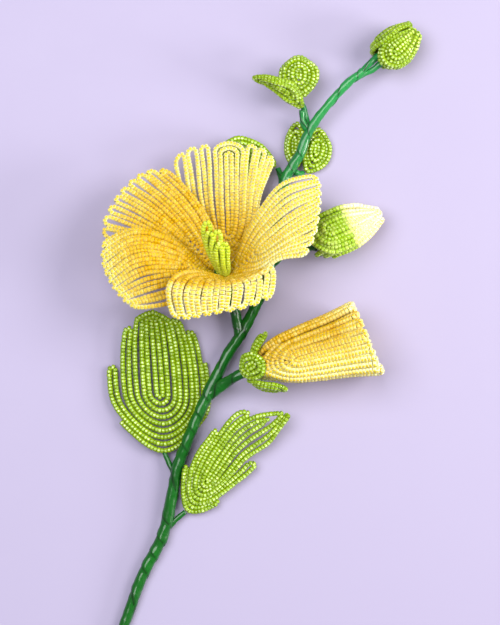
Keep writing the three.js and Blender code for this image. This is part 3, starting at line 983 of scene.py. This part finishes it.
stamens = {"steps": 40, "tone": 0.5, "seed": 30}
stamenLoops = [
    [(-12.6, 17.3, 16), (-16.4, 23.5, 24), (-18.9, 30.5, 30.5), (-18.9, 35.5, 34), (-17.4, 37, 35),
     (-16.3, 35, 34), (-16.4, 30, 31), (-14.8, 23.6, 25), (-11.6, 17.6, 16)],
    [(-12, 16.8, 16.6), (-13.8, 22, 25), (-14.6, 28, 31), (-14.6, 31.8, 34.4), (-13.2, 33.4, 35.4),
     (-12, 31.4, 34.4), (-12.3, 27.4, 31), (-11.9, 22, 26), (-10.8, 16.8, 16.8)],
    [(-12.6, 16.2, 17.4), (-16.2, 23, 26.6), (-18, 28.6, 32), (-17, 32.4, 35.6), (-15.4, 31.4, 35.6),
     (-15.8, 27, 32.4), (-14.6, 21.6, 27.4), (-11.2, 16, 17.6)],
    [(-10.6, 15.6, 17.6), (-10.9, 20.6, 26), (-11, 25.4, 30), (-10.4, 28.6, 32), (-9.2, 26.6, 31),
     (-9.2, 22, 27), (-8.9, 18, 22), (-9.4, 15.6, 17.6)],
    [(-11.4, 15.6, 18.4), (-13.4, 21, 28), (-13.9, 25.6, 32.4), (-12.8, 28, 34), (-11.6, 25.4, 32.4),
     (-11.2, 20.4, 28), (-10, 15.4, 18.4)],
]
stamenLines = RowLines()
for loop in stamenLoops:
    at, _ = lineThrough(loop)
    steps = range(stamens["steps"] + 1)
    stamenLines.add([(at(n / stamens["steps"]), stamens["tone"], flowerAxis) for n in steps], closed=False)
beadedPiece("stamen_column", stamenLines, stamenBeads, "stamen_beads", stamens["seed"])
print("sepals and stamens strung")

# Half-open flower and buds

# Gold along the upper side of the half-open flower, pale below and at its mouth; the pale lower side is
# partly the beads' colour and partly painted light where the light falls on it
trumpetTones = {
    "front": lambda u, v: 0.15 + 0.6 * smoothstep(-0.5, 0.5, u) + 0.25 * smoothstep(0.75, 0.97, v),
    "lower": lambda u, v: 0.12 + 0.4 * smoothstep(0.65, 0.95, v) + 0.3 * smoothstep(0.9, 0.98, v),
    "upper": lambda u, v: 0.75 + 0.25 * smoothstep(0.85, 0.97, v),
}
rolledBlooms = {
    "trumpet": {
        "base": (2.5, -23.2, 15),
        "tip": (48.8, -11.2, 16.4),
        "profile": (3.6, 8.4, 10.6, 12.3, 14.8),
        "stagger": 1.55,
        "halfAngle": 73,
        "skew": 0.05,
        "facings": {"front": 78, "lower": 318, "upper": 198},
        "rowLean": 0.24,
        "row": petalRow(0.38, 0.04),
        "pairs": 9,
        "beadWidth": 2.45,
        "glass": yellowBeads,
        "slot": "petal_beads",
        "tone": trumpetTones,
    },
    "half_bud": {
        "base": (25.5, 28.5, 11),
        "tip": (54.6, 41, 11),
        "profile": (4.4, 8.3, 8.6, 6.3, 1.4),
        "stagger": 1.3,
        "halfAngle": 72,
        "narrowing": 26,
        "facings": {"front": 70, "upper": 190, "lower": 310},
        "row": petalRow(0.3, 0.34),
        "pairs": 6,
        "beadWidth": 2.3,
        "glass": budBeads,
        "slot": "bud_beads",
        "tone": lambda u, v: smoothstep(0.48, 0.68, v),
    },
    "top_bud": {
        "base": (53.2, 105, 9.6),
        "tip": (68.8, 117.9, 9.6),
        "profile": (4, 6.6, 6.9, 5.5, 2.6),
        "stagger": 1.35,
        "halfAngle": 72,
        "narrowing": 22,
        "facings": {"front": 110, "lower": 350, "upper": 230},
        "row": petalRow(0.4, 0.25),
        "pairs": 5,
        "beadWidth": 2.2,
        "glass": greenBeads,
        "slot": "leaf_beads",
        "tone": lambda u, v: 0.5 + 0.4 * smoothstep(0.3, 0.9, v),
    },
}
seed = 40  # counts on through the sepals and leaves
for bloom, shape in rolledBlooms.items():
    for side, facing in shape["facings"].items():
        sheet = sheetRolled(shape, facing)
        tone = shape["tone"][side] if bloom == "trumpet" else shape["tone"]
        rows = petalRows(sheet, shape["row"], shape["pairs"], tone)
        name = f"{bloom}_petal_{side}"
        beadedPiece(name, rows, shape["glass"], shape["slot"], seed, shape["beadWidth"])
        seed += 1
print("rolled blooms strung:", len(rolledBlooms))

# Sepals round the base of the half-open flower
trumpetSepalRow = leafRow(0.4, 0.6)
trumpetSepals = {
    "front": {
        "left": [(-4.5, -20.5, 18), (-3, -17, 20), (1, -16, 21.6), (4.5, -17, 22.2)],
        "middle": [(-3.8, -25.2, 17.6), (-1.5, -23.2, 21.2), (2, -21.4, 23), (6, -20, 23.6)],
        "right": [(-1, -29, 17), (2.5, -27.8, 19.6), (5.6, -26.4, 21.2), (8, -24.5, 22)],
    },
    "lower": {
        "left": [(-2.6, -27.2, 18), (3.5, -28.4, 20.4), (10, -29.6, 21.6), (16, -30.8, 21)],
        "middle": [(-1.4, -27.6, 14.5), (4, -31, 16.8), (10, -31.8, 17.4), (16, -32, 17)],
        "right": [(-0.6, -27, 10.6), (5, -31, 11), (10.6, -32.4, 12), (15, -32.8, 12.4)],
    },
    "upper": {
        "left": [(0.4, -20.6, 12), (1.2, -16.2, 11.4), (3, -12.4, 11), (5.4, -8.8, 11.4)],
        "middle": [(0.6, -20.2, 15), (1.8, -15.4, 15.2), (4, -11.2, 15), (6.6, -8, 14.6)],
        "right": [(0.6, -20.4, 17.6), (1.8, -16.2, 18.4), (4.2, -12.4, 18.4), (6.8, -9, 17.6)],
    },
    "under": {
        "left": [(-1.2, -20, 11), (2.4, -17, 7.8), (7, -15.6, 5.6), (11.6, -15, 4.4)],
        "middle": [(-0.8, -23.4, 11), (3.4, -22.8, 7.8), (8, -22, 5.4), (13.4, -21, 3.6)],
        "right": [(-0.4, -26.4, 10.8), (4.4, -28, 8), (8.6, -28.4, 6.2), (13, -27.4, 4.8)],
    },
}
for side, shape in trumpetSepals.items():
    leafPiece(f"trumpet_sepal_{side}", shape, trumpetSepalRow, sepalPairs, seed)
    seed += 1

# Leaves

leafBeadWidth = 2.2
leaves = {
    "leaf_large_left": {
        "left": [(-54, -56.5, 3.5), (-62.8, -36, 1.1), (-62.6, -15, 1.4), (-52.5, 2.5, 4)],
        "middle": [(-36, -59.6, 4), (-38, -36, 4.3), (-39.6, -13, 5), (-41.5, 5.5, 6.5)],
        "right": [(-22, -55.5, 1.8), (-16.6, -40.5, 1.3), (-18.6, -18, 1.6), (-25, 1, 4)],
        "row": leafRow(0.36, 0.84, pointed=True, shoulder=1.7),
        "pairs": 9,
        "beadWidth": 2.4,
        "ends": {  # where rows that stop short end, by pair and side
            (4, -1): 1.84, (5, -1): 1.84, (6, -1): 1.3, (7, -1): 1.3, (8, -1): 0.62,
            (4, 1): 2.2, (5, 1): 2.2, (6, 1): 1.88, (7, 1): 1.88, (8, 1): 1.5,
        },
    },
    "leaf_large_right": {
        "left": [(-31, -80.5, 4), (-26.4, -63.6, 8.5), (-11, -45.4, 12), (0.5, -36, 12.5)],
        "middle": [(-25.8, -84.6, 2.6), (-16.4, -68.5, 7.5), (-3.2, -51, 10), (17.6, -40, 10.5)],
        "right": [(-16.5, -86.4, 1.6), (-4.6, -73.5, 3), (7.6, -60, 4.5), (13.5, -46, 8.5)],
        "row": leafRow(
            0.3,
            0.78,
            pointed=True,
            lastWhole=0.5,
            fans=[(0.8, 1.4, 0.3), (1.4, 2.0, 0.45)],
            shoulder=2.2,
        ),
        "pairs": 8,
        "ends": {
            (2, -1): 2.06, (3, -1): 2.06, (4, -1): 1.58, (5, -1): 1.58, (6, -1): 1.0, (7, -1): 1.0,
            (2, 1): 2.75, (3, 1): 2.75, (4, 1): 1.46, (5, 1): 1.46, (6, 1): 0.6, (7, 1): 0.6,
        },
    },
    "leaf_round_top": {
        "left": [(15.5, 90.6, 9), (12.4, 96.2, 10), (12.4, 102, 11), (15.5, 107, 10.5)],
        "middle": [(20.8, 89.4, 9.6), (20.5, 95.6, 11.6), (20.3, 102, 12.4), (20.2, 107.6, 11.6)],
        "right": [(26, 90.6, 9), (28.7, 96.2, 10), (28.6, 102, 10.8), (25.2, 107, 10.5)],
        "row": leafRow(0.5, 0.6),
        "pairs": 5,
    },
    "leaf_folded_top": {
        "left": [(23.6, 88, 13), (18.6, 95, 17.4), (10, 97, 19.5), (2, 99.4, 18)],
        "middle": [(22.4, 85.6, 10.6), (16.6, 91.2, 14.4), (9.4, 95.4, 16.4), (0.8, 98, 15.5)],
        "right": [(20.6, 84.8, 8.6), (14.6, 88.4, 10.4), (8.6, 93.6, 12.4), (1.4, 96.4, 13)],
        "row": leafRow(0.4, 0.6),
        "pairs": 4,
    },
    "leaf_round_right": {
        "left": [(21.6, 62.6, 2.6), (21.4, 67.6, 3), (22.6, 73, 3), (25, 77.4, 2.8)],
        "middle": [(23.6, 58.6, 1.8), (27, 64.6, 2.6), (28.6, 71, 3), (29, 78, 2.6)],
        "right": [(27.6, 58, 1.4), (32.6, 62.6, 1.2), (34.4, 69, 1.4), (32.4, 76, 1.8)],
        "row": leafRow(0.5, 0.6),
        "pairs": 4,
    },
    "leaf_round_left": {
        "left": [(16.6, 60.6, 1.4), (14.4, 67, 1.2), (14.7, 73.4, 1.4), (17.4, 80.6, 2)],
        "middle": [(19.2, 60, 2), (18.6, 66.6, 2.6), (19, 73.4, 2.8), (20.2, 81, 2.8)],
        "right": [(21.6, 60.6, 2.4), (22.4, 66.6, 3.2), (23.2, 72.6, 3.4), (23, 79.6, 3)],
        "row": leafRow(0.45, 0.6),
        "pairs": 3,
    },
    "leaf_behind_petal": {
        "left": [(9.4, 59, 2.6), (1, 59, 2), (-7, 61, 2), (-13, 65.4, 3)],
        "middle": [(11.4, 61.6, 4), (2.4, 64.6, 5), (-6, 67, 5.6), (-14, 68.6, 5.4)],
        "right": [(12.6, 64.4, 5.4), (4.8, 71.2, 7), (-5, 74.6, 8), (-13.2, 72.4, 7)],
        "row": leafRow(0.4, 0.6),
        "pairs": 4,
    },
}
for name, shape in leaves.items():
    leafPiece(name, shape, shape["row"], shape["pairs"], seed, shape.get("beadWidth", leafBeadWidth))
    seed += 1
print("leaves strung:", len(leaves))

# Taped stems

tapeWrap = {
    "sides": 24,
    "step": 0.9,
    "pitch": 11.0,
    "edgeHeight": 0.32,
    "wander": 0.5,
    "wanderRate": 0.11,
    "lumps": 0.3,
    "lumpRate": 0.35,
}
# Each stop of a stem is a point and the stem's radius there
stemStops = {
    "main": [
        (-66, -178, 1.7, 1.9), (-52.3, -129.7, 2.2, 2.1), (-44.8, -109.8, 2.8, 2.2),
        (-36.5, -93.2, 3.6, 2.35), (-30.4, -65.4, 5.6, 2.3), (-24.2, -48.8, 7.4, 2.15),
        (-18.7, -36.3, 7.7, 2.3), (-9.4, -17.6, 7.4, 2.2), (-2.6, -7.3, 7, 2.1), (8.3, 18.5, 6.4, 2),
        (14.1, 54.6, 7.2, 2), (20.8, 66.2, 7.4, 2), (24.4, 75.3, 8, 1.8), (32.4, 86.5, 9, 1.6),
        (40.7, 95.7, 10, 1.6), (47.3, 101, 10.4, 1.6),
    ],
    "budWires": [(46, 100, 10.4, 1.2), (49.8, 103.9, 10.8, 1.2), (54, 107.6, 10, 1.4)],
    "budWiresPair": [(46, 99.4, 9.8, 1.2), (51.4, 101.6, 9.4, 1.1), (55.8, 105.2, 9.4, 1.4)],
    "flowerStalk": [
        (-4.4, -9.4, 6.8, 2.2), (-5.6, -3, 6.4, 2), (-7.6, 5, 6.2, 1.9), (-9.6, 12.2, 8.2, 2),
        (-10.6, 14.7, 11.7, 2.4), (-11.5, 17.1, 15.5, 3.4),
    ],
    "trumpetStalk": [
        (-17.4, -34.6, 7.6, 2.3), (-12.4, -31, 9.4, 2.2), (-6, -26.8, 12.6, 2), (4.4, -22.7, 15.1, 1.9),
    ],
    "halfBudStalk": [
        (9.4, 21, 6.4, 1.9), (14, 24.6, 8.4, 1.7), (20, 26.6, 10.4, 1.7), (27.2, 29.2, 11, 3.2),
    ],
    "leftLeafStalk": [(-31.4, -69.4, 5, 1.2), (-34, -63.6, 4.2, 1), (-36, -58.8, 3.9, 0.9)],
    "rightLeafStalk": [(-37.2, -93.6, 3.6, 1.3), (-32, -88.2, 3.2, 1), (-27.2, -84, 2.7, 0.9)],
    "foldedLeafStalk": [(23.6, 76.6, 8, 1.3), (22, 80.6, 8.4, 1.1), (21.8, 84.8, 9.2, 1)],
    "roundLeafStalk": [(24.2, 77, 8, 1.3), (23.4, 82.6, 6.6, 1.1), (21.4, 89, 8.2, 1)],
    "roundPairStalk": [(18.8, 59, 6.4, 1.3), (20.8, 58.4, 3.4, 1.1), (22.4, 58.8, 2, 1)],
    "hiddenPairStalk": [(16, 56.6, 6.4, 1.3), (17, 57.6, 3.2, 1.1), (18, 59.4, 2, 1)],
    "behindLeafStalk": [(13.2, 54.4, 6.8, 1.3), (12.8, 57.6, 5.4, 1.1), (11.8, 60.6, 4.4, 1)],
}


# A taped stem: rings along a line, with the tape's edge standing up as it winds round
def tapedStem(stops, nearby=0.01):
    at, length = lineThrough([stop[:3] for stop in stops])
    radiusAt, _ = lineThrough([(step, stop[3], 0) for step, stop in enumerate(stops)])
    steps = max(4, round(length / tapeWrap["step"]))
    sides = tapeWrap["sides"]
    corners, winds, faces = [], [], []
    along = 0.0
    before = at(0)
    normal = None
    for step in range(steps + 1):
        t = step / steps
        centre = at(t)
        ahead = (at(min(t + nearby, 1)) - at(max(t - nearby, 0))).normalized()
        along += (centre - before).length
        before = centre
        if normal is None:
            normal = ahead.orthogonal().normalized()
        normal = (normal - ahead * normal.dot(ahead)).normalized()
        other = ahead.cross(normal)
        for side in range(sides):
            angle = 2 * math.pi * side / sides
            wander = tapeWrap["wander"] * math.sin(along * tapeWrap["wanderRate"] + len(stops))
            wind = side / sides + along / tapeWrap["pitch"] + wander
            radius = radiusAt(t).y + tapeWrap["edgeHeight"] * (1 - wind % 1)
            out = normal * math.cos(angle) + other * math.sin(angle)
            radius += tapeWrap["lumps"] * noise.noise((centre + out * radius) * tapeWrap["lumpRate"])
            point = centre + out * radius
            point.z = max(point.z, 0.0)
            corners.append((point + sprayOffset) * mm)
            winds.append(wind)
    for step in range(steps):
        for side in range(sides):
            a = step * sides + side
            b = step * sides + (side + 1) % sides
            faces.append((a, b, b + sides, a + sides))
    faces.append(tuple(range(sides))[::-1])
    faces.append(tuple(steps * sides + side for side in range(sides)))
    return corners, winds, faces


def tapedStems():
    corners, winds, faces = [], [], []
    for stops in stemStops.values():
        moreCorners, moreWinds, moreFaces = tapedStem(stops)
        first = len(corners)
        corners += moreCorners
        winds += moreWinds
        faces += [tuple(first + corner for corner in face) for face in moreFaces]
    mesh = bpy.data.meshes.new("tape_wound_stems")
    mesh.from_pydata(corners, [], faces)
    mesh.attributes.new("wind", "FLOAT", "POINT").data.foreach_set("value", winds)
    mesh.materials.append(waxedTape)
    mesh.shade_smooth()
    piece = bpy.data.objects.new("tape_wound_stems", mesh)
    scene.collection.objects.link(piece)
    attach(piece, "root")
    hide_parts("taped_stems")


tapedStems()
print("stems taped:", len(stemStops))

# Table, light and camera

tableLook = {
    "size": 3.0,
    "drop": 0.0002,
    "colour": (0.395, 0.352, 0.5),
    "grainScale": 40.0,
    "roughness": (0.55, 0.7),
}


def makeTable():
    half = tableLook["size"] / 2
    mesh = bpy.data.meshes.new("pale_table")
    corners = [(-half, -half, 0), (half, -half, 0), (half, half, 0), (-half, half, 0)]
    mesh.from_pydata(corners, [], [(0, 1, 2, 3)])
    material, tree, shader = newMaterial("paleTable")
    grain = noiseNode(tree, objectPlace(tree), tableLook["grainScale"])
    rough = mapRange(tree, grain, (0.0, 1.0), tableLook["roughness"])
    setSockets(tree, shader, {"Base Color": opaque(tableLook["colour"]), "Roughness": rough})
    mesh.materials.append(material)
    table = bpy.data.objects.new("pale_table", mesh)
    table.location.z = -tableLook["drop"]
    scene.collection.objects.link(table)


# Place and aim in metres, size across, power in watts
softBoxes = {
    "window_light": {
        "place": (0.65, 0.22, 0.72),
        "aim": (0, 0, 0.02),
        "size": 0.55,
        "power": 7,
        "colour": (1.0, 0.98, 0.95),
    },
    "low_window": {
        "place": (1.5, -0.2, 0.5),
        "aim": (0, 0, 0.02),
        "size": 0.55,
        "power": 20,
        "colour": (1.0, 0.99, 0.97),
    },
    "ceiling_bounce": {
        "place": (-0.35, 0.3, 1.1),
        "aim": (0, 0, 0),
        "size": 0.9,
        "power": 14,
        "colour": (0.95, 0.96, 1.0),
    },
}
roomLight = {"colour": (0.9, 0.88, 0.95), "strength": 0.3}


def softBox(name, box):
    light = bpy.data.lights.new(name, "AREA")
    light.shape = "DISK"
    light.size = box["size"]
    light.energy = box["power"]
    light.color = box["colour"]
    lamp = bpy.data.objects.new(name, light)
    lamp.location = box["place"]
    lamp.rotation_mode = "QUATERNION"
    lamp.rotation_quaternion = (Vector(box["aim"]) - Vector(box["place"])).to_track_quat("-Z", "Y")
    scene.collection.objects.link(lamp)


makeTable()
for name, box in softBoxes.items():
    softBox(name, box)
world = bpy.data.worlds.new("soft_room")
world.use_nodes = True
background = world.node_tree.nodes["Background"]
background.inputs["Color"].default_value = opaque(roomLight["colour"])
background.inputs["Strength"].default_value = roomLight["strength"]
scene.world = world
scene.view_settings.view_transform = "Standard"
print("table and lights set:", len(softBoxes))

# Straight down on the spray. The frame is measured at the level of the middle of the blooms.
cameraPlace = {"height": 1.12, "frameHeight": 0.259375, "frameLevel": 0.02, "sensor": 36.0}
lens = bpy.data.cameras.new("camera")
lens.sensor_width = cameraPlace["sensor"]
throw = cameraPlace["height"] - cameraPlace["frameLevel"]
lens.lens = cameraPlace["sensor"] * throw / cameraPlace["frameHeight"]
camera = bpy.data.objects.new("camera", lens)
camera.location = (sprayOffset.x * mm, sprayOffset.y * mm, cameraPlace["height"])
scene.collection.objects.link(camera)
scene.camera = camera
